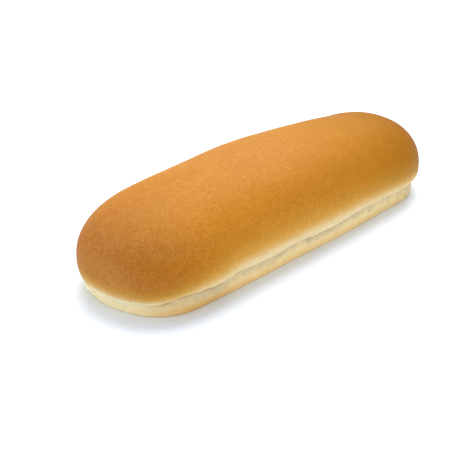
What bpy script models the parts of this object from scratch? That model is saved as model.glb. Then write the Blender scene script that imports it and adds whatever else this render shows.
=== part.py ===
"""A hot dog bun baked in a shallow oval pan: a low pale wall, then a crease where it rose past the pan,
then a domed cap.

Metres, +Z up. The bun lies along X, its flat base is on z = 0 and the origin is under its middle.
"""

import math

import bmesh
import bpy
from mathutils import Vector, noise

# The even loaf that the dough starts from, measured at its widest. Rising adds a little to the width.
LENGTH = 0.160
WIDTH = 0.052
HEIGHT = 0.0338

# The two rounded ends seen from above: how far each reaches past the straight sides, and how square it is.
BLUNT_END = 0.0298  # at -X
BLUNT_END_FULLNESS = 2.23
LONG_END = 0.0317  # at +X
LONG_END_FULLNESS = 1.91

# The section, as heights and as how far each place lies in from the widest outline.
WIDEST_HEIGHT = 0.0096
CREASE_HEIGHT = 0.0082
CREASE_INSET = 0.0034
CREASE_UNDERCUT = 0.0005  # how far the crease reaches up behind the cap's lip
LIP_INSET = 0.0008
WALL_TOP_INSET = 0.0029
WALL_INSET = 0.0021
WALL_FOOT_HEIGHT = 0.0025
BASE_INSET = 0.0040
BASE_RINGS = (0.0190, 0.0110)  # insets of the rings that carry the flat base

CAP_FULLNESS = 2.47  # exponent of the cap's section: 2 is an ellipse, more is squarer
RIDGE_SHORTENING = 0.05  # the share by which the crown's ridge is shorter than the straight sides

# The ways in which risen dough departs from an even loaf, as shares of a size.
TAPER = 0.052  # the -X end is this much wider than the middle, and the +X end narrower
BARREL = 0.025  # the middle is this much wider than the ends
CROWN_DROP = 0.25  # the cap is this much lower over the two tips
CROWN_TILT = 0.01  # the cap rises by this share towards +X
BEND = 0.00115  # metres by which the middle bows towards +Y
CROWN_WAVES = ((2, 0.014, 0.36), (3, 0.010, 0.0))  # waves along the bun, share, start as a share of a turn
NEAR_SIDE_WAVES = ((2, 0.011, 0.22),)  # the same, for the width of the -Y side
FAR_SIDE_WAVES = ((2, 0.015, 0.32),)  # and of the +Y side

# The crease wanders up and down: waves along each side, then rises and sags of the -Y side.
NEAR_CREASE_WAVES = ((9, 0.00006, 0.55), (17, 0.00005, 0.30))
FAR_CREASE_WAVES = ((3, 0.00035, 0.15), (5, 0.00030, 0.60), (9, 0.00010, 0.20))
WAVES_FADE = 0.4  # share of the half-width over which the waves fade towards a tip
CREASE_RISES = (
    (-0.0445, 0.0045, 0.0008),
    (-0.0150, 0.0055, 0.0008),
    (0.0290, 0.0090, 0.0005),
    (0.0430, 0.0090, 0.0002),
)
CREASE_SAGS = ((-0.0260, 0.0040, 0.0004), (0.0055, 0.0060, 0.0008))

# Round the ends the crease lies lower and is softer, most at the blunt end.
BLUNT_TURN = (0.064, 0.077)  # distances from the middle: where the change starts and where it is full
BLUNT_END_DROP = 0.0040
BLUNT_END_SOFTNESS = 1.0
LONG_TURN = (0.048, 0.074)
LONG_END_DROP = 0.0020
LONG_END_SOFTNESS = 0.25
SOFT_WALL_SHARE = 0.5  # how far full softness brings the wall's top out to the wall's foot
SOFT_LIP_SHARE = 0.9  # and the lip's foot in to the wall's top

# A short wrinkle in the -Y wall near the +X end: middle, half-length and depth.
WRINKLE = (0.052, 0.012, 0.0004)

# Low unevenness of the skin and of the wall: (size of a bump, height).
SKIN_BUMPS = ((0.030, 0.00020), (0.012, 0.00010))
WALL_BUMPS = ((0.005, 0.00018),)

# Mesh density.
END_STEPS = 44  # faces round each end, an even number
SIDE_STEPS = 36  # faces along each side
FOOT_STEPS = 4
WALL_STEPS = 4
LIP_STEPS = 4
CAP_STEPS = 17
CROWN_STOP = 0.6  # the cap's last level stops this share of a step short of the crown

CRUST_COLOUR = (0.62, 0.30, 0.075, 1.0)
CRUST_ROUGHNESS = 0.5


def clear_scene():
    for obj in list(bpy.data.objects):
        bpy.data.objects.remove(obj)


def smooth_step(share):
    share = min(max(share, 0.0), 1.0)
    return share * share * (3 - 2 * share)


def bell(distance, half_width):
    return math.exp(-((distance / half_width) ** 2))


def waves_at(waves, turn):
    return sum(high * math.sin(2 * math.pi * (count * turn + start)) for count, high, start in waves)


def places_round():
    """Each place round the bun, from the +X tip towards +Y.

    It is (x of its ridge point, reach of its end, share of that reach, share of the half-width).
    """
    right_x = LENGTH / 2 - LONG_END
    left_x = BLUNT_END - LENGTH / 2
    right = (1, right_x, left_x, LONG_END, LONG_END_FULLNESS)
    left = (-1, left_x, right_x, BLUNT_END, BLUNT_END_FULLNESS)
    places = []
    for side, ridge_x, other_x, end, fullness in (right, left):
        for step in range(END_STEPS + 1):
            angle = (step / END_STEPS - 0.5) * math.pi
            end_share = side * abs(math.cos(angle)) ** (2 / fullness)
            side_share = side * math.copysign(abs(math.sin(angle)) ** (2 / fullness), angle)
            places.append((ridge_x, end, end_share, side_share))
        for step in range(1, SIDE_STEPS):
            places.append((ridge_x + step / SIDE_STEPS * (other_x - ridge_x), end, 0.0, side))
    tip = END_STEPS // 2
    return places[tip:] + places[:tip]


def point_at(place, inset, height, scale=1.0, ridge_scale=1.0):
    ridge_x, end, end_share, side_share = place
    x = ridge_x * ridge_scale + (end - inset) * scale * end_share
    y = (WIDTH / 2 - inset) * scale * side_share
    return Vector((x, y, height))


def round_the_end(x, turn):
    """How far round an end a place lies: 0 along the sides, 1 at a tip."""
    starts, full = turn
    return smooth_step((abs(x) - starts) / (full - starts))


def crease_height(x, y):
    waves = waves_at(NEAR_CREASE_WAVES if y < 0 else FAR_CREASE_WAVES, x / LENGTH)
    height = CREASE_HEIGHT + waves * smooth_step(abs(y) / (WIDTH / 2) / WAVES_FADE)
    if x > 0:
        height -= LONG_END_DROP * round_the_end(x, LONG_TURN)
    else:
        height -= BLUNT_END_DROP * round_the_end(x, BLUNT_TURN)
    if y < 0:
        height += sum(rise * bell(x - middle, half_length) for middle, half_length, rise in CREASE_RISES)
        height -= sum(sag * bell(x - middle, half_length) for middle, half_length, sag in CREASE_SAGS)
    return height


def quarter_ellipse(start, end, count):
    """Points after start up to end, as (inset, height), level at the inner end, upright at the outer."""
    points = []
    for step in range(1, count + 1):
        angle = step / count * math.pi / 2
        inset = start[0] + (end[0] - start[0]) * math.sin(angle)
        height = start[1] + (end[1] - start[1]) * (1 - math.cos(angle))
        points.append((inset, height))
    return points


def wall_section(x, y):
    """The section at one place from the base to the widest outline, as (inset, height)."""
    crease = crease_height(x, y)
    if x > 0:
        softness = LONG_END_SOFTNESS * round_the_end(x, LONG_TURN)
    else:
        softness = BLUNT_END_SOFTNESS * round_the_end(x, BLUNT_TURN)
    wall_top = WALL_TOP_INSET + (WALL_INSET - WALL_TOP_INSET) * softness * SOFT_WALL_SHARE
    deepest = CREASE_INSET + (wall_top - CREASE_INSET) * softness
    lip = LIP_INSET + (wall_top - LIP_INSET) * softness * SOFT_LIP_SHARE
    section = [(inset, 0.0) for inset in BASE_RINGS]
    section.append((BASE_INSET, 0.0))
    section += quarter_ellipse((BASE_INSET, 0.0), (WALL_INSET, WALL_FOOT_HEIGHT), FOOT_STEPS)
    for step in range(1, WALL_STEPS + 1):
        share = step / WALL_STEPS
        inset = WALL_INSET + (wall_top - WALL_INSET) * share**2
        if step == WALL_STEPS // 2 and y < 0:
            middle, half_length, depth = WRINKLE
            inset += depth * bell(x - middle, half_length)
        section.append((inset, WALL_FOOT_HEIGHT + (crease - WALL_FOOT_HEIGHT) * share))
    section.append((deepest, crease + CREASE_UNDERCUT * (1 - softness)))
    section.append((lip, crease))
    # The crease's wandering has faded out by the widest outline, which is level.
    section += quarter_ellipse((lip, crease), (0.0, WIDEST_HEIGHT), LIP_STEPS)
    return section


def cap_section():
    """The section from above the widest outline to near the crown, as (scale of the outline, height)."""
    section = []
    for step in range(1, CAP_STEPS + 1):
        angle = step / (CAP_STEPS + CROWN_STOP) * math.pi / 2
        scale = math.cos(angle) ** (2 / CAP_FULLNESS)
        rise = math.sin(angle) ** (2 / CAP_FULLNESS)
        section.append((scale, WIDEST_HEIGHT + (HEIGHT - WIDEST_HEIGHT) * rise))
    return section


def risen(point):
    """Moves a point of the even loaf to where the risen dough has it."""
    along = point.x / (LENGTH / 2)
    widen = 1 - TAPER * along + BARREL * (1 - along**2)
    widen += waves_at(NEAR_SIDE_WAVES if point.y < 0 else FAR_SIDE_WAVES, along / 2)
    z = point.z
    if z > WIDEST_HEIGHT:
        swell = 1 + CROWN_TILT * along - CROWN_DROP * along**2 + waves_at(CROWN_WAVES, along / 2)
        z = WIDEST_HEIGHT + (z - WIDEST_HEIGHT) * swell
    return Vector((point.x, point.y * widen + BEND * (1 - along**2), z))


def uneven(point):
    """Adds the low bumps, outward from the line that runs along the bun's middle. The base stays flat."""
    half_ridge = (LENGTH - WIDTH) / 2
    ridge = Vector((min(max(point.x, -half_ridge), half_ridge), 0.0, WIDEST_HEIGHT))
    height = sum(high * noise.noise(point / size) for size, high in SKIN_BUMPS)
    in_wall = 1 - smooth_step(point.z / WIDEST_HEIGHT)
    height += sum(high * noise.noise(point / size) for size, high in WALL_BUMPS) * in_wall
    return point + (point - ridge).normalized() * height * smooth_step(point.z / WALL_FOOT_HEIGHT)


def rings_of_points():
    """Every level of the bun from the base's inside to the crown, each a list of points round it."""
    places = places_round()
    columns = []
    for place in places:
        rim = point_at(place, 0.0, 0.0)
        wall = wall_section(rim.x, rim.y)
        column = [point_at(place, inset, height) for inset, height in wall]
        for scale, height in cap_section():
            ridge_scale = 1 - RIDGE_SHORTENING * (1 - scale) ** 2
            column.append(point_at(place, 0.0, height, scale, ridge_scale))
        columns.append([uneven(risen(point)) for point in column])
    return list(zip(*columns))


def add_ring(mesh, points, below):
    """Adds one level's vertices and the faces down to the level below it."""
    ring = [mesh.verts.new(point) for point in points]
    if below:
        for number, corner in enumerate(ring):
            following = (number + 1) % len(ring)
            mesh.faces.new((below[number], below[following], ring[following], corner))
    return ring


def close_across(mesh, ring, face_up):
    """Closes a ring with faces that run straight across the bun, from its +Y side to its -Y side."""
    count = len(ring)
    for number in range(count // 2):
        far_side = [ring[number], ring[number + 1]]
        near_side = [ring[(count - number - 1) % count], ring[-number % count]]
        corners = list(dict.fromkeys(far_side + near_side))
        mesh.faces.new(corners if face_up else corners[::-1])


def centre_on_origin(mesh):
    """Moves the mesh so that the middle of its box lies over the origin and its base on z = 0."""
    lows = [min(vert.co[axis] for vert in mesh.verts) for axis in range(3)]
    highs = [max(vert.co[axis] for vert in mesh.verts) for axis in range(3)]
    middle = Vector(((lows[0] + highs[0]) / 2, (lows[1] + highs[1]) / 2, lows[2]))
    for vert in mesh.verts:
        vert.co -= middle


def bun_mesh():
    mesh = bmesh.new()
    rings = rings_of_points()
    first = ring = add_ring(mesh, rings[0], None)
    for points in rings[1:]:
        ring = add_ring(mesh, points, ring)
    close_across(mesh, first, face_up=False)
    close_across(mesh, ring, face_up=True)
    centre_on_origin(mesh)
    return mesh


def crust_material():
    material = bpy.data.materials.new("crust")
    material.use_nodes = True
    shader = material.node_tree.nodes["Principled BSDF"]
    shader.inputs["Base Color"].default_value = CRUST_COLOUR
    shader.inputs["Roughness"].default_value = CRUST_ROUGHNESS
    shader.inputs["Metallic"].default_value = 0.0
    return material


def build_bun():
    mesh = bun_mesh()
    data = bpy.data.meshes.new("bun")
    mesh.to_mesh(data)
    mesh.free()
    data.materials.append(crust_material())
    data.shade_smooth()
    bun = bpy.data.objects.new("bun", data)
    bpy.context.scene.collection.objects.link(bun)
    return bun


clear_scene()
build_bun()
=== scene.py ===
import math

import bmesh
import bpy
import numpy as np
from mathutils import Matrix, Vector, noise


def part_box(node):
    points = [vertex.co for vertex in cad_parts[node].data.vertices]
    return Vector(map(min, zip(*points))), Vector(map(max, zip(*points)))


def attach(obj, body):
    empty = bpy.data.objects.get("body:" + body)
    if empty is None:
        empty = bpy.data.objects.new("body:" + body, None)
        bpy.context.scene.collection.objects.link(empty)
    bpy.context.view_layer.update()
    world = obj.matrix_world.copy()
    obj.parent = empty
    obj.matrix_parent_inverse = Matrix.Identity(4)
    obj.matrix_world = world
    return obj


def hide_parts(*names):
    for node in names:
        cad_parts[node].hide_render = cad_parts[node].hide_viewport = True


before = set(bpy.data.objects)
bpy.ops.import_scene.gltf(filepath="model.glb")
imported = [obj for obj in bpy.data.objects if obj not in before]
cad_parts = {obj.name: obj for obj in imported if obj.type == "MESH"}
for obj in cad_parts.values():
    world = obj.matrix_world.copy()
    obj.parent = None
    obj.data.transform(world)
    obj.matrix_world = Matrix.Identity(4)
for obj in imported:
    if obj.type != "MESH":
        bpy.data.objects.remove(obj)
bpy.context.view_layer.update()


# what the steps below share

def deselectAll():
    if bpy.context.mode != "OBJECT":
        bpy.ops.object.mode_set(mode="OBJECT")
    bpy.ops.object.select_all(action="DESELECT")


def pickVerts(piece, wanted):
    # in edit mode: selects the vertices that pass the test, and the edges between them
    mesh = bmesh.from_edit_mesh(piece.data)
    mesh.verts.index_update()
    mesh.select_mode = {"VERT"}
    for vert in mesh.verts:
        vert.select = bool(wanted(vert))
    mesh.select_flush_mode()
    bmesh.update_edit_mesh(piece.data)


def pickEdges(piece, wanted):
    mesh = bmesh.from_edit_mesh(piece.data)
    mesh.verts.index_update()
    mesh.select_mode = {"EDGE"}
    for edge in mesh.edges:
        edge.select = bool(wanted(edge))
    mesh.select_flush_mode()
    bmesh.update_edit_mesh(piece.data)


def readPoints(piece):
    points = np.empty(len(piece.data.vertices) * 3)
    piece.data.vertices.foreach_get("co", points)
    return points.reshape(-1, 3)


def writePoints(piece, points):
    piece.data.vertices.foreach_set("co", np.asarray(points, np.float32).ravel())
    piece.data.update()


def readNormals(piece):
    normals = np.empty(len(piece.data.vertices) * 3)
    piece.data.vertex_normals.foreach_get("vector", normals)
    return normals.reshape(-1, 3)


def storeValue(piece, name, values):
    layer = piece.data.attributes.new(name, "FLOAT", "POINT")
    layer.data.foreach_set("value", np.asarray(values, np.float32))


def fade(value, start, full):
    # 0 up to start and 1 from full on; it falls along the value where full is the lower one
    share = np.clip((value - start) / (full - start), 0, 1)
    return share * share * (3 - 2 * share)


def bell(value, middle, halfWidth):
    return np.exp(-(((value - middle) / halfWidth) ** 2))


def wavesAt(waves, turn):
    return sum(high * np.sin(2 * math.pi * (count * turn + start)) for count, high, start in waves)


noiseSteps = (3.7, 1.9, 5.3)  # how far each seed moves the noise


def noiseAt(points, size, seed=0):
    shift = Vector([seed * step for step in noiseSteps])
    return np.array([noise.noise(Vector(point) / size + shift) for point in points])


# the bun's shape, in metres; near is the -Y side, the blunt end is at -X and the long one at +X

bun = {
    "length": 0.160,
    "width": 0.052,
    "height": 0.0338,
    "fitShare": 0.9995,  # of the frame's bun, which the skin stays inside
    # the two ends seen from above: reach past the straight sides, and squareness
    "bluntEnd": 0.0298,
    "bluntFullness": 2.23,
    "longEnd": 0.0317,
    "longFullness": 1.91,
    # the section, as heights and insets from the widest outline
    "widestHeight": 0.0096,
    "creaseHeight": 0.0082,
    "creaseInset": 0.0037,
    "creaseUndercut": 0.0004,
    "lipInset": 0.0007,
    "lipEdge": 0.0004,
    "lipEdgeRise": 0.25,  # shares of the lip's edge
    "lipEdgeSoft": 0.8,
    "wallTopInset": 0.0029,
    "wallInset": 0.0032,
    "footHeight": 0.0006,
    "baseInset": 0.0036,
    "baseRings": (0.0072, 0.0120, 0.0190),
    "capFullness": 2.47,
    "ridgeShortening": 0.05,
    # how the dough rose, as shares of a size; the bend is in metres
    "taper": 0.052,
    "barrel": 0.025,
    "crownDrop": 0.25,
    "crownTilt": 0.01,
    "bend": 0.00115,
    # waves along the bun: how many, how high, and where they start as a share of a turn
    "crownWaves": ((2, 0.014, 0.36), (3, 0.010, 0.0)),
    "nearSideWaves": ((2, 0.011, 0.22),),
    "farSideWaves": ((2, 0.015, 0.32),),
    # humps of the crown: middle, half-length and height; they lie on the far side and over the long end
    "crownHumps": ((-0.045, 0.009, 0.00015), (-0.010, 0.010, 0.00045), (0.0365, 0.006, 0.00020),
                   (0.0500, 0.005, -0.00075), (0.0640, 0.006, 0.00045)),
    "humpsAcross": (-0.002, 0.010),
    "humpsAlong": (0.050, 0.060),
    # the crease's wandering, and rises of the near side (minus sags): middle, half-length and height
    "nearCreaseWaves": ((9, 0.00006, 0.55), (17, 0.00005, 0.30)),
    "farCreaseWaves": ((3, 0.00035, 0.15), (5, 0.00030, 0.60), (9, 0.00010, 0.20)),
    "wavesFade": 0.4,
    "creaseRises": ((-0.0445, 0.0045, 0.0008), (-0.0150, 0.0055, 0.0008), (0.029, 0.009, 0.0005),
                    (0.043, 0.009, 0.0002), (-0.026, 0.004, -0.0004), (0.0055, 0.006, -0.0008),
                    (-0.0048, 0.0014, -0.0006)),
    # round each end: where the crease's drop starts and is full, and how far down; then how soft it gets
    "bluntDrop": (0.064, 0.077, 0.0040),
    "longDrop": (0.048, 0.074, 0.0020),
    "bluntSoft": (0.0685, 0.0745, 1.0),
    "longSoft": (0.050, 0.062, 0.65),
    "softWallShare": 0.5,
    "softLipShare": 0.9,
    # bumps of the skin: size and height
    "skinBumps": ((0.030, 0.00020), (0.011, 0.00022)),
    # where the near side's foot sits further in: middle, half-length and depth; then the blunt end's
    "footPulls": ((-0.053, 0.009, 0.0011), (-0.036, 0.010, 0.0003), (-0.010, 0.012, 0.0006),
                  (0.046, 0.008, 0.0009), (0.064, 0.006, -0.0008)),
    "endPull": 0.0006,
    "endPullAlong": (-0.0690, -0.0760),
    "endPullAcross": (0.001, -0.006),
    "pullUpTo": (0.0050, 0.0015),
    # how fine the mesh is
    "endPoints": 36,
    "sideCuts": 36,
    "footRings": 3,
    "wallRings": 3,
    "lipRings": 3,
    "capRings": 13,
    "crownStop": 0.6,
    "smoothLevels": 2,
}

rightRidge = bun["length"] / 2 - bun["longEnd"]  # where the straight sides end
leftRidge = bun["bluntEnd"] - bun["length"] / 2
ringCount = 2 * (bun["endPoints"] + bun["sideCuts"])


def quarterEllipse(start, end, count):
    # (inset, height) after start up to end, level at the inner end and upright at the outer one
    steps = [(step / count) * math.pi / 2 for step in range(1, count + 1)]
    return [(start[0] + (end[0] - start[0]) * math.sin(angle),
             start[1] + (end[1] - start[1]) * (1 - math.cos(angle))) for angle in steps]


def makeLevel(height, inset=0.0, scale=1.0, ridge=1.0, wander=0.0, soften=0.0, sink=0.0, fine=0.0):
    # one ring of the even loaf: its outline, how much it takes of the crease's wandering,
    # how far a soft crease brings it out and down, and whether its faces get finer
    return {"right": (bun["longEnd"] - inset) * scale, "left": (bun["bluntEnd"] - inset) * scale,
            "half": (bun["width"] / 2 - inset) * scale, "ridge": ridge, "height": height,
            "wander": wander, "soften": soften, "sink": sink, "fine": fine}


def wallLevels():
    # from the base's edge up the foot and the wall, and the inset of the wall's top where the crease is soft
    base = (bun["baseInset"], 0.0)
    foot = (bun["wallInset"], bun["footHeight"])
    levels = [makeLevel(0.0, bun["baseInset"])]
    levels += [makeLevel(height, inset) for inset, height in quarterEllipse(base, foot, bun["footRings"])]
    wallOut = (bun["wallTopInset"] - bun["wallInset"]) * bun["softWallShare"]
    for step in range(1, bun["wallRings"] + 1):
        share = step / bun["wallRings"]
        inset = bun["wallInset"] + (bun["wallTopInset"] - bun["wallInset"]) * share**2
        height = bun["footHeight"] + (bun["creaseHeight"] - bun["footHeight"]) * share
        levels.append(makeLevel(height, inset, wander=share, soften=wallOut * share**2, fine=1.0))
    return levels, bun["wallTopInset"] - wallOut


def lipLevels(softTop):
    # from the crease out along the lip to the widest outline
    crease, edge = bun["creaseHeight"], bun["lipEdge"]
    lip, widest = (bun["lipInset"], crease), (0.0, bun["widestHeight"])
    lipIn = (softTop - bun["lipInset"]) * bun["softLipShare"]
    levels = [
        makeLevel(crease + bun["creaseUndercut"], bun["creaseInset"], wander=1.0,
                  soften=bun["creaseInset"] - softTop, sink=bun["creaseUndercut"]),
        makeLevel(crease + edge * bun["lipEdgeRise"], bun["lipInset"] + edge, wander=1.0,
                  soften=edge * bun["lipEdgeSoft"] - lipIn),
        makeLevel(crease, bun["lipInset"], wander=1.0, soften=-lipIn, fine=1.0),
    ]
    for inset, height in quarterEllipse(lip, widest, bun["lipRings"]):
        share = 1 - (height - crease) / (bun["widestHeight"] - crease)
        levels.append(makeLevel(height, inset, wander=share, soften=-lipIn * inset / bun["lipInset"]))
    return levels


def capLevels():
    levels = []
    for step in range(1, bun["capRings"] + 1):
        angle = step / (bun["capRings"] + bun["crownStop"]) * math.pi / 2
        scale = math.cos(angle) ** (2 / bun["capFullness"])
        rise = math.sin(angle) ** (2 / bun["capFullness"])
        height = bun["widestHeight"] + (bun["height"] - bun["widestHeight"]) * rise
        levels.append(makeLevel(height, scale=scale, ridge=1 - bun["ridgeShortening"] * (1 - scale) ** 2))
    return levels


def drawFirstRing(level):
    # a circle made squarer and pulled apart into two ends, joined by two long edges that are then cut
    count = 2 * bun["endPoints"]
    bpy.ops.mesh.primitive_circle_add(vertices=count, radius=1, rotation=(0, 0, math.pi / count))
    piece = bpy.context.object
    piece.name = "bunSoft"
    bpy.ops.object.transform_apply(location=False, rotation=True, scale=True)
    points = readPoints(piece)
    fullness = np.where(points[:, 0] > 0, bun["longFullness"], bun["bluntFullness"])
    for axis in (0, 1):
        points[:, axis] = np.sign(points[:, axis]) * np.abs(points[:, axis]) ** (2 / fullness)
    writePoints(piece, points)
    bpy.ops.object.mode_set(mode="EDIT")
    for side, reach, ridge in ((1, level["right"], rightRidge), (-1, level["left"], leftRidge)):
        pickVerts(piece, lambda vert: vert.co.x * side > 0)
        bpy.ops.transform.resize(value=(reach, level["half"], 1), center_override=(0, 0, 0))
        bpy.ops.transform.translate(value=(ridge, 0, 0))
    pickEdges(piece, lambda edge: edge.calc_length() > bun["length"] / 4)
    bpy.ops.mesh.subdivide(number_cuts=bun["sideCuts"])
    return piece


def raiseRings(piece, levels, firstRing):
    # from the selected ring on: extrude, then scale to the next level's outline, each end from where the
    # straight sides stop; the points on that line stay, so they are told apart by a thousandth of a millimetre
    for number, (last, level) in enumerate(zip(levels, levels[1:]), firstRing + 1):
        bpy.ops.mesh.extrude_edges_move(TRANSFORM_OT_translate={"value": (0, 0, level["height"] - last["height"])})
        start = number * ringCount
        slide = level["ridge"] / last["ridge"]
        bpy.ops.transform.resize(value=(slide, level["half"] / last["half"], 1), center_override=(0, 0, 0))
        for side, ridge, key in ((1, rightRidge, "right"), (-1, leftRidge, "left")):
            edge = ridge * level["ridge"]
            pickVerts(piece, lambda vert: vert.index >= start and (vert.co.x - edge) * side > 1e-6)
            grow = level[key] / last[key] / slide
            bpy.ops.transform.resize(value=(grow, 1, 1), center_override=(edge, 0, 0))
        pickVerts(piece, lambda vert: vert.index >= start)


def bridgeAcross(piece, ring):
    # the long sides of one ring joined straight across, which closes it
    rim = range(ring * ringCount, (ring + 1) * ringCount)

    def isSide(edge):
        first, second = edge.verts
        return first.index in rim and second.index in rim and first.co.y * second.co.y > 0

    pickEdges(piece, isSide)
    bpy.ops.mesh.bridge_edge_loops()


def buildLoaf():
    wall, softTop = wallLevels()
    levels = wall + lipLevels(softTop) + capLevels()
    baseLevels = [makeLevel(0.0, inset) for inset in bun["baseRings"]]
    piece = drawFirstRing(levels[0])
    pickVerts(piece, lambda vert: True)
    raiseRings(piece, levels, 0)
    pickVerts(piece, lambda vert: vert.index < ringCount)
    raiseRings(piece, levels[:1] + baseLevels, len(levels) - 1)
    bridgeAcross(piece, len(levels) - 1)
    bridgeAcross(piece, len(levels) + len(baseLevels) - 1)
    bpy.ops.mesh.select_all(action="SELECT")
    bpy.ops.mesh.normals_make_consistent(inside=False)
    bpy.ops.object.mode_set(mode="OBJECT")
    print("even loaf", len(piece.data.vertices), "vertices,", len(levels) + len(baseLevels), "rings of", ringCount)
    return piece, levels + baseLevels


def roundTheEnd(x, blunt, long):
    # 0 along the sides, then up to each end's own amount of drop or softness
    return blunt[2] * fade(-x, *blunt[:2]) + long[2] * fade(x, *long[:2])


def creaseWander(x, y):
    # how far the crease lies above its mean height
    turn = x / bun["length"]
    wander = np.where(y < 0, wavesAt(bun["nearCreaseWaves"], turn), wavesAt(bun["farCreaseWaves"], turn))
    wander *= fade(np.abs(y) / (bun["width"] / 2), 0, bun["wavesFade"])
    wander -= roundTheEnd(x, bun["bluntDrop"], bun["longDrop"])
    for middle, halfLength, rise in bun["creaseRises"]:
        wander += (y < 0) * rise * bell(x, middle, halfLength)
    return wander


def shapeCrease(piece, levels):
    points = readPoints(piece)
    x, y = points[:, 0].copy(), points[:, 1].copy()

    def perPoint(key):
        return np.array([level[key] for level in levels])[np.arange(len(points)) // ringCount]

    pastRight, pastLeft = (x - rightRidge) / perPoint("right"), (x - leftRidge) / perPoint("left")
    endShare = np.maximum(pastRight, 0) + np.minimum(pastLeft, 0)
    softness = roundTheEnd(x, bun["bluntSoft"], bun["longSoft"])
    points[:, 2] += perPoint("wander") * creaseWander(x, y) - perPoint("sink") * softness
    points[:, 0] += perPoint("soften") * softness * endShare
    points[:, 1] += perPoint("soften") * softness * y / perPoint("half")
    writePoints(piece, points)
    storeValue(piece, "fine", perPoint("fine"))
    print("crease shaped")


def riseDough(piece):
    points = readPoints(piece)
    x, y, z = points.T.copy()
    along = x / (bun["length"] / 2)
    widen = 1 - bun["taper"] * along + bun["barrel"] * (1 - along**2)
    widen += np.where(y < 0, wavesAt(bun["nearSideWaves"], along / 2), wavesAt(bun["farSideWaves"], along / 2))
    swell = bun["crownTilt"] * along - bun["crownDrop"] * along**2 + wavesAt(bun["crownWaves"], along / 2)
    humps = sum(high * bell(x, middle, halfLength) for middle, halfLength, high in bun["crownHumps"])
    humps *= np.maximum(fade(y, *bun["humpsAcross"]), fade(x, *bun["humpsAlong"]))
    swell += humps / (bun["height"] - bun["widestHeight"])
    points[:, 2] += np.maximum(z - bun["widestHeight"], 0) * swell
    points[:, 1] = y * widen + bun["bend"] * (1 - along**2)
    writePoints(piece, points)


def bumpSkin(piece):
    # low bumps, outward from the line along the bun's middle; the base stays flat
    points = readPoints(piece)
    halfRidge = (bun["length"] - bun["width"]) / 2
    ridge = np.zeros_like(points)
    ridge[:, 0] = np.clip(points[:, 0], -halfRidge, halfRidge)
    ridge[:, 2] = bun["widestHeight"]
    outward = points - ridge
    outward /= np.linalg.norm(outward, axis=1, keepdims=True)
    bumps = sum(high * noiseAt(points, size) for size, high in bun["skinBumps"])
    bumps *= fade(points[:, 2], 0, bun["footHeight"])
    writePoints(piece, points + outward * bumps[:, None])


def pullFoot(piece):
    points = readPoints(piece)
    x, y, z = points.T.copy()
    low = fade(z, *bun["pullUpTo"])
    pull = sum(deep * bell(x, middle, halfLength) for middle, halfLength, deep in bun["footPulls"])
    points[:, 1] *= 1 - pull * low * (y < 0) / (bun["width"] / 2)
    points[:, 0] += bun["endPull"] * low * fade(x, *bun["endPullAlong"]) * fade(y, *bun["endPullAcross"])
    writePoints(piece, points)
    print("dough risen, foot pulled in")


def smoothSkin(piece):
    bpy.context.view_layer.objects.active = piece
    smoother = piece.modifiers.new("smooth", "SUBSURF")
    smoother.levels = smoother.render_levels = bun["smoothLevels"]
    bpy.ops.object.modifier_apply(modifier=smoother.name)
    print("smoothed to", len(piece.data.polygons), "faces")


def fitToFrame(piece):
    # centred over the origin as the frame's bun is, and no larger than it
    low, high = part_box("bun")
    points = readPoints(piece)
    middle = (points.min(0) + points.max(0)) / 2
    middle[2] = points[:, 2].min()
    size = points.max(0) - points.min(0)
    room = np.array(high - low)
    print("skin against frame, mm", (size * 1000).round(2), (room * 1000).round(2))
    points = (points - middle) * bun["fitShare"] * room / size
    points += np.array(((low.x + high.x) / 2, (low.y + high.y) / 2, low.z))
    writePoints(piece, points)


# the rough band under the lip, where the dough tore open as it rose

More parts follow.
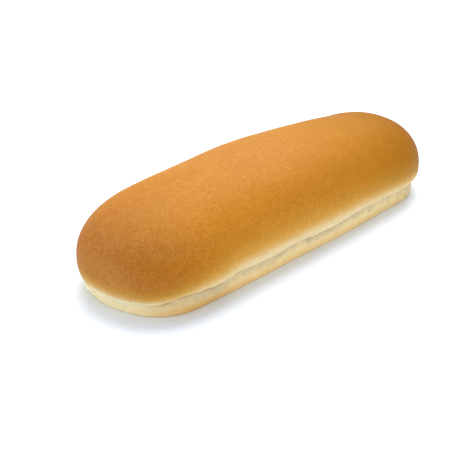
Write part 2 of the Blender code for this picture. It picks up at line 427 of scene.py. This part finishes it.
tear = {
    "height": 0.0040,
    "reachVaries": (0.30, 0.12),  # by patches and by roughness
    "sink": 0.00032,
    "startBelow": (-0.0003, 0.0001),
    "edgeSoft": 0.00022,
    "patchSize": 0.0045,
    "roughSize": 0.0011,
    "roughDepth": 0.00014,
    "roughUntorn": 0.3,
    # strands run up the wall, so their noise is stretched that way
    "strandSize": 0.0014,
    "strandDepth": 0.00036,
    "strandSlope": (0.6, 0, -0.7),
    # pits: the noise that they come from, its range that opens them, and their row as shares of the reach
    "pitSize": 0.00080,
    "pitStretch": (0.8, 0.8, 1.2),
    "pitPatches": 0.30,
    "pitRange": (0.12, 0.50),
    "pitRow": (0.68, 0.30),
    "pitDepth": 0.00036,
    # the lip's ragged edge, below the crease
    "lipSize": 0.0024,
    "lipDepth": 0.00016,
    "lipStart": (-0.0016, -0.0004),
    "lipEnd": (0.0006, 0.0),
    "lipTorn": (0, 0.3),
    # where the wall's roughness sets in, below the crease and above the base
    "wallBelow": (-0.0006, 0.0006),
    "wallAbove": (0.0010, 0.0025),
    # nothing changes further above the crease than this (minus is above), or lower than this over the base
    "highest": -0.0045,
    "lowest": 0.0006,
    # how the tint of torn dough ends downwards, and how much less of it the long end has
    "tintEdge": (0.0008, -0.0012),
    "tintLess": 0.4,
    "tintLessAlong": (0.026, 0.040),
    # along the bun: how torn the near side is, how far down against the height above, and how pitted
    "along": (-0.076, -0.066, -0.056, -0.044, -0.036, 0.000, 0.030, 0.044, 0.058, 0.072),
    "torn": (0.20, 0.45, 0.80, 1.0, 1.0, 1.0, 1.0, 1.0, 0.9, 0.6),
    "reach": (0.6, 1.2, 1.35, 1.25, 1.10, 1.00, 1.08, 1.22, 1.25, 1.10),
    "pitted": (0.0, 0.0, 0.1, 0.25, 0.8, 1.0, 1.0, 0.8, 0.7, 0.5),
    "farShare": 0.7,
    # the lip's painted shadow, a dark line right under the lip: places along the bun, how dark it is and how far down
    "paintedLipShadowAlong": (-0.0715, -0.0675, -0.061, -0.0555, -0.049, -0.043, -0.036, -0.022, 0.002, 0.008, 0.0165,
                  0.0245, 0.034),
    "seam": (0, 0.90, 0.75, 1.0, 0.95, 0.65, 0.30, 0.15, 0.25, 0.55, 0.70, 0.50, 0.10),
    "paintedLipShadowDepth": (0.0017, 0.0019, 0.0019, 0.0019, 0.0026, 0.0024, 0.0024, 0.0024, 0.0024, 0.0024, 0.0024,
                  0.0024, 0.0024),
    "paintedLipShadowWidth": 0.00050,
    "paintedLipShadowPatches": 0.6,
    # folds: height (minus is a groove), half-width, and the points along each
    "folds": (
        (0.00050, 0.00045, ((-0.0740, -0.0162, 0.0060), (-0.0728, -0.0167, 0.0050), (-0.0720, -0.0176, 0.0045))),
        (-0.00012, 0.00042, ((-0.0722, -0.0172, 0.0056), (-0.0716, -0.0180, 0.0051))),
        (0.00065, 0.00045, ((-0.0702, -0.0197, 0.0060), (-0.0712, -0.0184, 0.0048), (-0.0727, -0.0163, 0.0032))),
        (-0.00014, 0.00042, ((-0.0694, -0.0202, 0.0056), (-0.0706, -0.0191, 0.0042))),
        (0.00045, 0.00045, ((-0.0678, -0.0211, 0.0056), (-0.0691, -0.0197, 0.0042))),
        (-0.00035, 0.00040, ((0.0380, -0.0232, 0.0052), (0.0450, -0.0230, 0.0053), (0.0490, -0.0231, 0.0049),
                             (0.0555, -0.0223, 0.0043))),
        (-0.00040, 0.00040, ((-0.0062, -0.0242, 0.0062), (-0.0046, -0.0242, 0.0054), (-0.0028, -0.0240, 0.0062))),
        # bulges of the wall: the blunt end's far corner, and the long end's near corner
        (0.00120, 0.0011, ((-0.0783, 0.0045, 0.0053), (-0.0775, 0.0065, 0.0052))),
        (0.00120, 0.0009, ((-0.0767, 0.0045, 0.0024), (-0.0762, 0.0065, 0.0024))),
        (0.00085, 0.0024, ((0.0600, -0.0215, 0.0040), (0.0640, -0.0188, 0.0040), (0.0670, -0.0150, 0.0040))),
    ),
    "foldReach": 0.003,
}


def refineWall(piece):
    # the wall and the lip's edge get finer faces, for the torn dough
    bpy.ops.object.mode_set(mode="EDIT")
    mesh = bmesh.from_edit_mesh(piece.data)
    fine = mesh.verts.layers.float["fine"]
    mesh.select_mode = {"FACE"}
    for face in mesh.faces:
        face.select = sum(vert[fine] for vert in face.verts) > len(face.verts) / 2
    mesh.select_flush_mode()
    bmesh.update_edit_mesh(piece.data)
    bpy.ops.mesh.subdivide(number_cuts=1)
    bpy.ops.object.mode_set(mode="OBJECT")
    piece.data.attributes.remove(piece.data.attributes["fine"])
    print("wall refined,", len(piece.data.polygons), "faces")


def distanceToFold(spots, normals, fold):
    # along the skin, so a fold needn't lie exactly on it; skin further off than its reach doesn't count
    nearest = np.full(len(spots), np.inf)
    for start, end in zip(np.array(fold[:-1]), np.array(fold[1:])):
        run = end - start
        share = np.clip((spots - start) @ run / (run @ run), 0, 1)
        away = spots - start - share[:, None] * run
        onSkin = away - (away * normals).sum(1)[:, None] * normals
        inReach = np.linalg.norm(away, axis=1) <= tear["foldReach"]
        nearest = np.where(inReach, np.minimum(nearest, np.linalg.norm(onSkin, axis=1)), nearest)
    return nearest


def tearWall(piece):
    points = readPoints(piece)
    below = bun["creaseHeight"] + creaseWander(points[:, 0], points[:, 1]) - points[:, 2]
    active = np.flatnonzero((below > tear["highest"]) & (points[:, 2] > tear["lowest"]))
    spots, normals, below = points[active], readNormals(piece)[active], below[active]
    x, y, z = spots.T

    def alongBun(key, places="along"):
        return np.interp(x, tear[places], tear[key])

    patches = noiseAt(spots, tear["patchSize"], seed=3)
    rough = noiseAt(spots, tear["roughSize"], seed=17)
    strands = noiseAt(spots + np.outer(z, tear["strandSlope"]), tear["strandSize"], seed=11)
    ragged = noiseAt(spots, tear["lipSize"], seed=23)
    pitNoise = noiseAt(spots * tear["pitStretch"], tear["pitSize"], seed=7) + tear["pitPatches"] * patches

    amount = alongBun("torn") * np.where(y < 0, 1, tear["farShare"])
    reachVaries = 1 + tear["reachVaries"][0] * patches + tear["reachVaries"][1] * rough
    reach = tear["height"] * alongBun("reach") * reachVaries
    started = fade(below, *tear["startBelow"]) * amount
    torn = started * fade(below, reach + tear["edgeSoft"], reach - tear["edgeSoft"])
    pits = fade(pitNoise, *tear["pitRange"]) * torn * alongBun("pitted")
    pits *= bell(below, tear["pitRow"][0] * reach, tear["pitRow"][1] * reach)
    wall = fade(below, *tear["wallBelow"]) * fade(z, *tear["wallAbove"])
    lip = fade(below, *tear["lipStart"]) * fade(below, *tear["lipEnd"]) * fade(amount, *tear["lipTorn"])

    push = -tear["sink"] * torn - tear["pitDepth"] * pits + tear["strandDepth"] * strands * wall
    push += tear["roughDepth"] * rough * (tear["roughUntorn"] + torn) * wall + tear["lipDepth"] * ragged * lip
    for rise, halfWidth, fold in tear["folds"]:
        push += rise * bell(distanceToFold(spots, normals, fold), 0, halfWidth)
    points[active] += normals * push[:, None]
    writePoints(piece, points)

    tinted = started * fade(below, reach + tear["tintEdge"][0], reach + tear["tintEdge"][1])
    tinted *= 1 - tear["tintLess"] * fade(x, *tear["tintLessAlong"])
    # the lip's painted shadow: a dark line on the wall just under the lip, patchy along it
    seam = alongBun("seam", "paintedLipShadowAlong") * bell(below, alongBun("paintedLipShadowDepth", "paintedLipShadowAlong"), tear["paintedLipShadowWidth"])
    seam *= 1 + tear["paintedLipShadowPatches"] * patches
    marks = {"torn": tinted, "holes": tinted * alongBun("pitted"), "pit": pits, "seam": seam}
    for name, values in marks.items():
        everywhere = np.zeros(len(points))
        everywhere[active] = values
        storeValue(piece, name, everywhere)
    print("wall torn,", len(active), "points")


def makeBun():
    deselectAll()
    piece, levels = buildLoaf()
    shapeCrease(piece, levels)
    riseDough(piece)
    bumpSkin(piece)
    pullFoot(piece)
    smoothSkin(piece)
    fitToFrame(piece)
    refineWall(piece)
    tearWall(piece)
    bpy.ops.object.shade_smooth()
    return piece


bunSkin = makeBun()


# how the bun is baked: marks on its points, which the crust's material reads

baking = {
    # along the bun: the height where the browning starts, how far up it takes, how dark it ends,
    # the wall's painted light and shade, and how golden its lower edge
    "along": (-0.080, -0.073, -0.066, -0.060, -0.050, -0.042, -0.030, 0.000, 0.024, 0.038, 0.049, 0.059, 0.066, 0.080),
    "start": (0.0053, 0.0055, 0.0071, 0.0081, 0.0087, 0.0092, 0.0094, 0.0092, 0.0090, 0.0084, 0.0082, 0.0075,
              0.0060, 0.0050),
    "span": (0.0080, 0.0079, 0.0084, 0.0093, 0.0110, 0.0122, 0.0124, 0.0124, 0.0122, 0.0118, 0.0120, 0.0130,
             0.0135, 0.0120),
    "depth": (0.85, 0.82, 0.85, 0.90, 0.96, 0.99, 1.00, 0.99, 0.92, 0.84, 0.78, 0.68, 0.55, 0.47),
    "paintedLightAlongWall": (1.0, 1.0, 0.94, 0.90, 0.90, 1.02, 1.09, 1.06, 1.04, 1.07, 1.03, 0.88, 0.82, 0.80),
    "edgeGold": (0.02, 0.28, 0.60, 0.78, 0.76, 0.64, 0.45, 0.37, 0.32, 0.32, 0.30, 0.24, 0.20, 0.20),
    "wallBelow": (0.0006, -0.0006),  # the crease
    # darker: the long end's top, and the shoulders between the ends
    "farEndDark": 0.12,
    "farEndAlong": (0.044, 0.068),
    "farEndUp": (0.016, 0.028),
    "shoulderDark": 0.05,
    "shoulderUp": (0.0262, 0.0035),
    "shoulderAlong": (0.060, 0.048),
    # painted sheen on the crown, a bluer and less red tint, which starts lower towards the long end and has a faint
    # lower edge
    "crownSheenUp": (0.024, 0.034),
    "crownSheenLower": 0.0040,
    "crownSheenLowerAlong": (-0.01, 0.03),
    "crownSheenEdge": 0.24,
    "crownSheenEdgeUp": (0.0225, 0.0035),
    "crownSheenAlong": (0.070, 0.050),
    # redder towards the blunt end, but less so in a band round it; more amber towards the long one
    "ruddyAlong": (-0.048, -0.079),
    "ruddyLess": 0.6,
    "ruddyLessUp": (0.0170, 0.0045),
    "ruddyLessAlong": (-0.0785, -0.0735),
    "amberAlong": ((0.75, -0.005, 0.035), (0.25, 0.044, 0.066)),
    # the wall: pale at the blunt end, its own dough low down, and brighter at the foot by painted light
    "endPaleAlong": (-0.066, -0.078),
    "lowUp": (0.0085, 0.0040),
    "paintedFootLight": 0.08,
    "footUp": (0.0040, 0.0018),
    "footAlong": (0.040, 0.010),
    # the golden edge: how it ends upwards, what of it stays above, and a spot of it near the pleats
    "goldUp": (0.0016, 0.0034),
    "goldAbove": 0.22,
    "goldSpot": 0.22,
    "goldSpotUp": (0.0047, 0.0011),
    "goldSpotAlong": (-0.070, 0.008),
    # patches of the blunt end: axis, fade or bell, and its two values
    "patches": {
        "tip": (("x", fade, -0.0745, -0.0790), ("z", fade, 0.006, 0.008), ("z", fade, 0.0130, 0.0100)),
        "rim": (("x", fade, -0.0745, -0.0800), ("z", bell, 0.0150, 0.0050)),
        "russet": (("x", bell, -0.070, 0.009), ("z", bell, 0.0165, 0.0045)),
        "honey": (("x", bell, -0.068, 0.011), ("z", fade, 0.0165, 0.0205)),
    },
}


def markBaking(piece):
    x, y, z = readPoints(piece).T
    start, span, depth, light, gold = [np.interp(x, baking["along"], baking[key])
                                       for key in ("start", "span", "depth", "paintedLightAlongWall", "edgeGold")]
    onWall = fade(z - bun["creaseHeight"] - creaseWander(x, y), *baking["wallBelow"])
    farEnd = baking["farEndDark"] * fade(x, *baking["farEndAlong"]) * fade(z, *baking["farEndUp"])
    shoulder = baking["shoulderDark"] * bell(z, *baking["shoulderUp"]) * fade(np.abs(x), *baking["shoulderAlong"])
    crownSheenStart = baking["crownSheenUp"][0] - baking["crownSheenLower"] * fade(x, *baking["crownSheenLowerAlong"])
    crown = fade(z, crownSheenStart, baking["crownSheenUp"][1]) + baking["crownSheenEdge"] * bell(z, *baking["crownSheenEdgeUp"])
    ruddyLess = baking["ruddyLess"] * bell(z, *baking["ruddyLessUp"]) * fade(x, *baking["ruddyLessAlong"])
    paintedFootLight = baking["paintedFootLight"] * fade(z, *baking["footUp"]) * fade(x, *baking["footAlong"])
    edge = gold * (1 - (1 - baking["goldAbove"] * gold) * fade(z, *baking["goldUp"])) * onWall
    spot = baking["goldSpot"] * bell(z, *baking["goldSpotUp"]) * bell(x, *baking["goldSpotAlong"])
    marks = {
        "bake": np.clip((z - start) / span, 0, 1),
        "depth": depth * (1 - farEnd - shoulder),
        "crown": crown * fade(x, *baking["crownSheenAlong"]),
        "ruddy": fade(x, *baking["ruddyAlong"]) * (1 - ruddyLess),
        "amber": sum(share * fade(x, low, high) for share, low, high in baking["amberAlong"]),
        "endPale": fade(x, *baking["endPaleAlong"]),
        "low": fade(z, *baking["lowUp"]),
        "light": (1 + (light - 1) * onWall) * (1 + paintedFootLight),
        "gold": edge + spot,
    }
    for name, shapes in baking["patches"].items():
        marks[name] = np.prod([shape({"x": x, "z": z}[axis], *values) for axis, shape, *values in shapes], axis=0)
    for name, values in marks.items():
        storeValue(piece, name, values)
    print("baking marked,", len(marks), "marks")


# the crust's material

class Wire:
    # a socket that takes sums and products; each one adds its Math node
    tree = None

    def __init__(self, socket):
        self.socket = socket

    @classmethod
    def make(cls, kind, settings=(), inputs=(), output=0):
        node = cls.tree.nodes.new(kind)
        for name, value in dict(settings).items():
            if name == "stops":
                ramp = node.color_ramp
                while len(ramp.elements) < len(value):
                    ramp.elements.new(0.5)
                for element, (place, colour) in zip(ramp.elements, value):
                    element.position = place
                    element.color = (*colour, 1)
            else:
                setattr(node, name, value)
        for name, value in dict(inputs).items():
            if isinstance(value, Wire):
                cls.tree.links.new(value.socket, node.inputs[name])
            else:
                node.inputs[name].default_value = value
        return cls(node.outputs[output])

    def math(self, operation, first, second):
        return Wire.make("ShaderNodeMath", {"operation": operation}, {0: first, 1: second})

    def __add__(self, other):
        return self.math("ADD", self, other)

    def __radd__(self, other):
        return self.math("ADD", other, self)

    def __sub__(self, other):
        return self.math("SUBTRACT", self, other)

    def __rsub__(self, other):
        return self.math("SUBTRACT", other, self)

    def __mul__(self, other):
        return self.math("MULTIPLY", self, other)

    def __rmul__(self, other):
        return self.math("MULTIPLY", other, self)

    def clamp(self):
        return Wire.make("ShaderNodeClamp", {}, {"Value": self})

    def ease(self, low, high):
        # 0 below low, 1 above high, smooth between
        return Wire.make("ShaderNodeMapRange", {"interpolation_type": "SMOOTHSTEP"},
                         {"Value": self, "From Min": low, "From Max": high})


def blend(factor, first, second):
    return Wire.make("ShaderNodeMix", {"data_type": "FLOAT"}, {0: factor, 2: first, 3: second})


def blendColours(factor, first, second):
    first, second = [(*colour, 1) if isinstance(colour, tuple) else colour for colour in (first, second)]
    return Wire.make("ShaderNodeMix", {"data_type": "RGBA"}, {0: factor, 6: first, 7: second}, output=2)


def shaded(colour, amount):
    # a colour times a number
    return Wire.make("ShaderNodeVectorMath", {"operation": "SCALE"}, {0: colour, "Scale": amount})


def tinted(colour, tint):
    # a colour or a place times another, part by part
    return Wire.make("ShaderNodeVectorMath", {"operation": "MULTIPLY"}, {0: colour, 1: tint})


def uneven(colour, tint, amount):
    # a colour that a number about zero moves both ways, each part by its share in the tint
    around = Wire.make("ShaderNodeVectorMath", {"operation": "MULTIPLY_ADD"}, {0: tint, 1: amount, 2: (1.0, 1.0, 1.0)})
    return tinted(colour, around)


crust = {
    # from unbaked dough to full brown, over the height that the browning takes
    "stops": (
        (0.00, (0.740, 0.595, 0.340)),
        (0.07, (0.738, 0.570, 0.305)),
        (0.15, (0.705, 0.490, 0.210)),
        (0.25, (0.650, 0.380, 0.108)),
        (0.37, (0.605, 0.306, 0.052)),
        (0.52, (0.548, 0.254, 0.033)),
        (0.72, (0.520, 0.214, 0.018)),
        (1.00, (0.505, 0.188, 0.012)),
    ),
    # colours of their own
    "ruddy": (0.50, 0.19, 0.036),
    "lowWall": (0.83, 0.655, 0.345),
    "endWall": (0.91, 0.81, 0.52),
    "tornDough": (0.71, 0.58, 0.36),
    "edge": (0.78, 0.43, 0.11),
    # tints that multiply what is there
    # painted sheen on the crown
    "crown": (0.87, 0.96, 2.25),
    "tip": (1.07, 1.09, 1.6),
    "rim": (1.08, 1.20, 1.20),
    "russet": (0.99, 0.91, 0.80),
    "honey": (1.0, 1.0, 0.83),
    "amber": (1.0, 0.97, 0.33),
    # the lip's painted shadow on the wall
    "paintedLipShadowTint": (0.66, 0.60, 0.46),
    # painted shade in the pits, on top of their dents
    "paintedPitShade": 0.84,
    # how far baked the crust is where each of these sets in and is full
    "setsIn": {"mottle": (0.02, 0.4), "ruddy": (0.45, 0.95), "depth": (0.0, 0.5), "grit": (0.0, 0.7),
               "amber": (0.3, 0.9), "crust": (0.0, 0.2), "wrinkles": (0.6, 1.0)},
    # noise: scale, detail, roughness and distortion
    "noise": {"mottle": (60.0, 3.0, 0.6, 0.0), "grain": (1400.0, 2.0, 0.5, 0.0), "freckle": (420.0, 2.0, 0.5, 0.0),
              "speckle": (760.0, 0.0, 0.5, 0.0), "pinholes": (950.0, 0.0, 0.5, 0.0),
              "wrinkles": (230.0, 1.0, 0.5, 0.6)},
    "wrinkleStretch": (1.0, 2.6, 2.6),
    # shares of grain, freckles and mottling: in the browning, on the crust, on pale dough, on the wall,
    # on torn dough and in the relief
    "browningNoise": (0.0, 0.05, 0.12),
    "crustNoise": (0.50, 0.18, 0.14),
    "paleNoise": (0.18, 0.16, 0.0),
    "wallNoise": (0.22, 0.30, 0.25),
    "tornNoise": (0.25, 0.30, 0.0),
    "reliefNoise": (1.0, 1.0, 0.0),
    # that noise pales as it lightens, so blue varies most; it is stronger where ruddy and weaker where amber
    "crustVaries": (0.80, 1.30, 3.2),
    "wallVaries": (0.7, 0.9, 1.3),
    "noiseLevel": 1.05,
    "noiseRuddy": 0.15,
    "noiseAmber": 0.3,
    "speckRange": (0.78, 0.86),
    "lightSpecks": 0.12,
    "darkSpecks": 0.14,
    "tornCover": 0.85,
    "tornUneven": 1.5,
    "goldUneven": 0.9,
    "pinholeRange": (0.60, 0.70),
    # painted shade in the pinholes of the torn dough
    "paintedPinholeShade": 0.20,
    "reliefStrength": 0.28,
    "reliefDepth": 0.0003,
    "roughness": 0.58,
    "specular": 0.045,
}


def makeCrustMaterial():
    material = bpy.data.materials.new("bakedCrust")
    material.use_nodes = True
    tree = Wire.tree = material.node_tree
    shader = tree.nodes["Principled BSDF"]
    place = Wire.make("ShaderNodeTexCoord", output=3)

    def mark(name):
        return Wire.make("ShaderNodeAttribute", {"attribute_name": name}, output=2)

    def cloud(name, at=place):
        values = dict(zip(("Scale", "Detail", "Roughness", "Distortion"), crust["noise"][name]))
        return Wire.make("ShaderNodeTexNoise", {}, {"Vector": at, **values})

    grain, freckle, mottle = [cloud(name) - 0.5 for name in ("grain", "freckle", "mottle")]
    speckle = cloud("speckle")
    wrinkles = cloud("wrinkles", tinted(place, crust["wrinkleStretch"])) - 0.5
    bake = mark("bake")

    def noises(key):
        shares = crust[key]
        return grain * shares[0] + freckle * shares[1] + mottle * shares[2]

    def setsIn(name):
        return bake.ease(*crust["setsIn"][name])

    # the browning
    browned = bake + noises("browningNoise") * setsIn("mottle")
    colour = Wire.make("ShaderNodeValToRGB", {"stops": crust["stops"]}, {"Fac": browned})
    colour = blendColours(mark("ruddy") * setsIn("ruddy"), colour, crust["ruddy"])
    colour = shaded(colour, blend(setsIn("depth"), 1.0, mark("depth")))

    # grain, specks and the tints of the cap
    lightSpecks = (1.0 - speckle).ease(*crust["speckRange"]) * crust["lightSpecks"]
    darkSpecks = speckle.ease(*crust["speckRange"]) * crust["darkSpecks"]
    level = crust["noiseLevel"] + mark("ruddy") * crust["noiseRuddy"] - mark("amber") * crust["noiseAmber"]
    onCrust = (noises("crustNoise") + lightSpecks - darkSpecks) * setsIn("grit") * level
    onPale = noises("paleNoise") * (1.0 - setsIn("grit"))
    colour = uneven(colour, crust["crustVaries"], onCrust + onPale)
    # the crown's tint is painted sheen; the others tint the blunt end's patches
    for name in ("crown", "tip", "rim", "russet", "honey"):
        colour = blendColours(mark(name), colour, tinted(colour, crust[name]))
    colour = blendColours(mark("amber") * setsIn("amber"), colour, tinted(colour, crust["amber"]))

    # the wall: paler low down and round the blunt end, torn under the lip, golden along its lower edge
    wall = blendColours(mark("endPale"), crust["lowWall"], crust["endWall"])
    wall = uneven(wall, crust["wallVaries"], noises("wallNoise"))
    colour = blendColours(mark("low") * (1.0 - setsIn("crust")), colour, wall)
    tornDough = shaded(crust["tornDough"], 1.0 + noises("tornNoise"))
    tornCover = (mark("torn") * (crust["tornCover"] + freckle * crust["tornUneven"])).clamp()
    colour = blendColours(tornCover, colour, tornDough)
    golden = (mark("gold") * (1.0 + mottle * crust["goldUneven"])).clamp()
    colour = blendColours(golden, colour, crust["edge"])

    # painted shade: the lip's shadow under it, and shade in the pits and in the pinholes; then the wall's painted
    # light and shade
    colour = blendColours(mark("seam"), colour, tinted(colour, crust["paintedLipShadowTint"]))
    # painted shade in pinholes of the torn dough, which have no dents of their own
    pinholes = cloud("pinholes").ease(*crust["pinholeRange"]) * mark("holes") * crust["paintedPinholeShade"]
    # painted shade in the pits
    pits = blend(mark("pit"), 1.0, crust["paintedPitShade"])
    # the wall's painted light and shade, then the painted shade of the pits and pinholes
    colour = shaded(colour, mark("light") * pits * (1.0 - pinholes))
    tree.links.new(colour.socket, shader.inputs["Base Color"])

    relief = noises("reliefNoise") + wrinkles * setsIn("wrinkles")
    bumps = Wire.make("ShaderNodeBump", {}, {"Height": relief, "Strength": crust["reliefStrength"],
                                             "Distance": crust["reliefDepth"]})
    tree.links.new(bumps.socket, shader.inputs["Normal"])
    shader.inputs["Roughness"].default_value = crust["roughness"]
    shader.inputs["Specular IOR Level"].default_value = crust["specular"]
    print("crust made,", len(tree.nodes), "nodes")
    return material


markBaking(bunSkin)
bunSkin.data.materials.append(makeCrustMaterial())
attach(bunSkin, "root")
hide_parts("bun")
print("bun finished,", sum(len(face.vertices) - 2 for face in bunSkin.data.polygons), "triangles")


# floor, light and camera

studio = {
    "floorSize": 3.0,
    "floorColour": (0.82, 0.868, 0.935),
    "floorRoughness": 0.9,
    "floorSpecular": 0.1,
    "skyColour": (0.96, 0.99, 1.03),
    "skyStrength": 0.96,
    "keySize": 0.9,
    "keyPlace": (0.39, 0.31, 0.89),
    "keyAim": (0, 0, 0.01),
    "keyPower": 12.0,
}


def makeFloor():
    deselectAll()
    bpy.ops.mesh.primitive_plane_add(size=studio["floorSize"])
    floor = bpy.context.object
    floor.name = "floor"
    material = bpy.data.materials.new("paleFloor")
    material.use_nodes = True
    shader = material.node_tree.nodes["Principled BSDF"]
    shader.inputs["Base Color"].default_value = (*studio["floorColour"], 1)
    shader.inputs["Roughness"].default_value = studio["floorRoughness"]
    shader.inputs["Specular IOR Level"].default_value = studio["floorSpecular"]
    floor.data.materials.append(material)


def makeLight():
    world = bpy.data.worlds.new("studio")
    world.use_nodes = True
    background = world.node_tree.nodes["Background"]
    background.inputs["Color"].default_value = (*studio["skyColour"], 1)
    background.inputs["Strength"].default_value = studio["skyStrength"]
    bpy.context.scene.world = world
    bpy.ops.object.light_add(type="AREA", location=studio["keyPlace"])
    key = bpy.context.object
    key.name = "key"
    key.data.shape = "DISK"
    key.data.size = studio["keySize"]
    key.data.energy = studio["keyPower"]
    key.rotation_mode = "QUATERNION"
    key.rotation_quaternion = (Vector(studio["keyAim"]) - key.location).to_track_quat("-Z", "Y")


cameraView = {
    "azimuth": -46.56,
    "elevation": 25.97,
    "distance": 0.310,
    "lens": 70.4,
    "target": (-0.03047, -0.01342, 0.012),
    "nearest": 0.01,
}


def makeCamera():
    azimuth, elevation = math.radians(cameraView["azimuth"]), math.radians(cameraView["elevation"])
    level = math.cos(elevation)
    back = Vector((math.sin(azimuth) * level, -math.cos(azimuth) * level, math.sin(elevation)))
    bpy.ops.object.camera_add(location=Vector(cameraView["target"]) + back * cameraView["distance"])
    camera = bpy.context.object
    camera.name = "camera"
    camera.rotation_mode = "QUATERNION"
    camera.rotation_quaternion = (-back).to_track_quat("-Z", "Y")
    camera.data.lens = cameraView["lens"]
    camera.data.clip_start = cameraView["nearest"]
    bpy.context.scene.camera = camera


makeFloor()
makeLight()
makeCamera()
bpy.context.scene.view_settings.view_transform = "Standard"
print("floor, light and camera made")
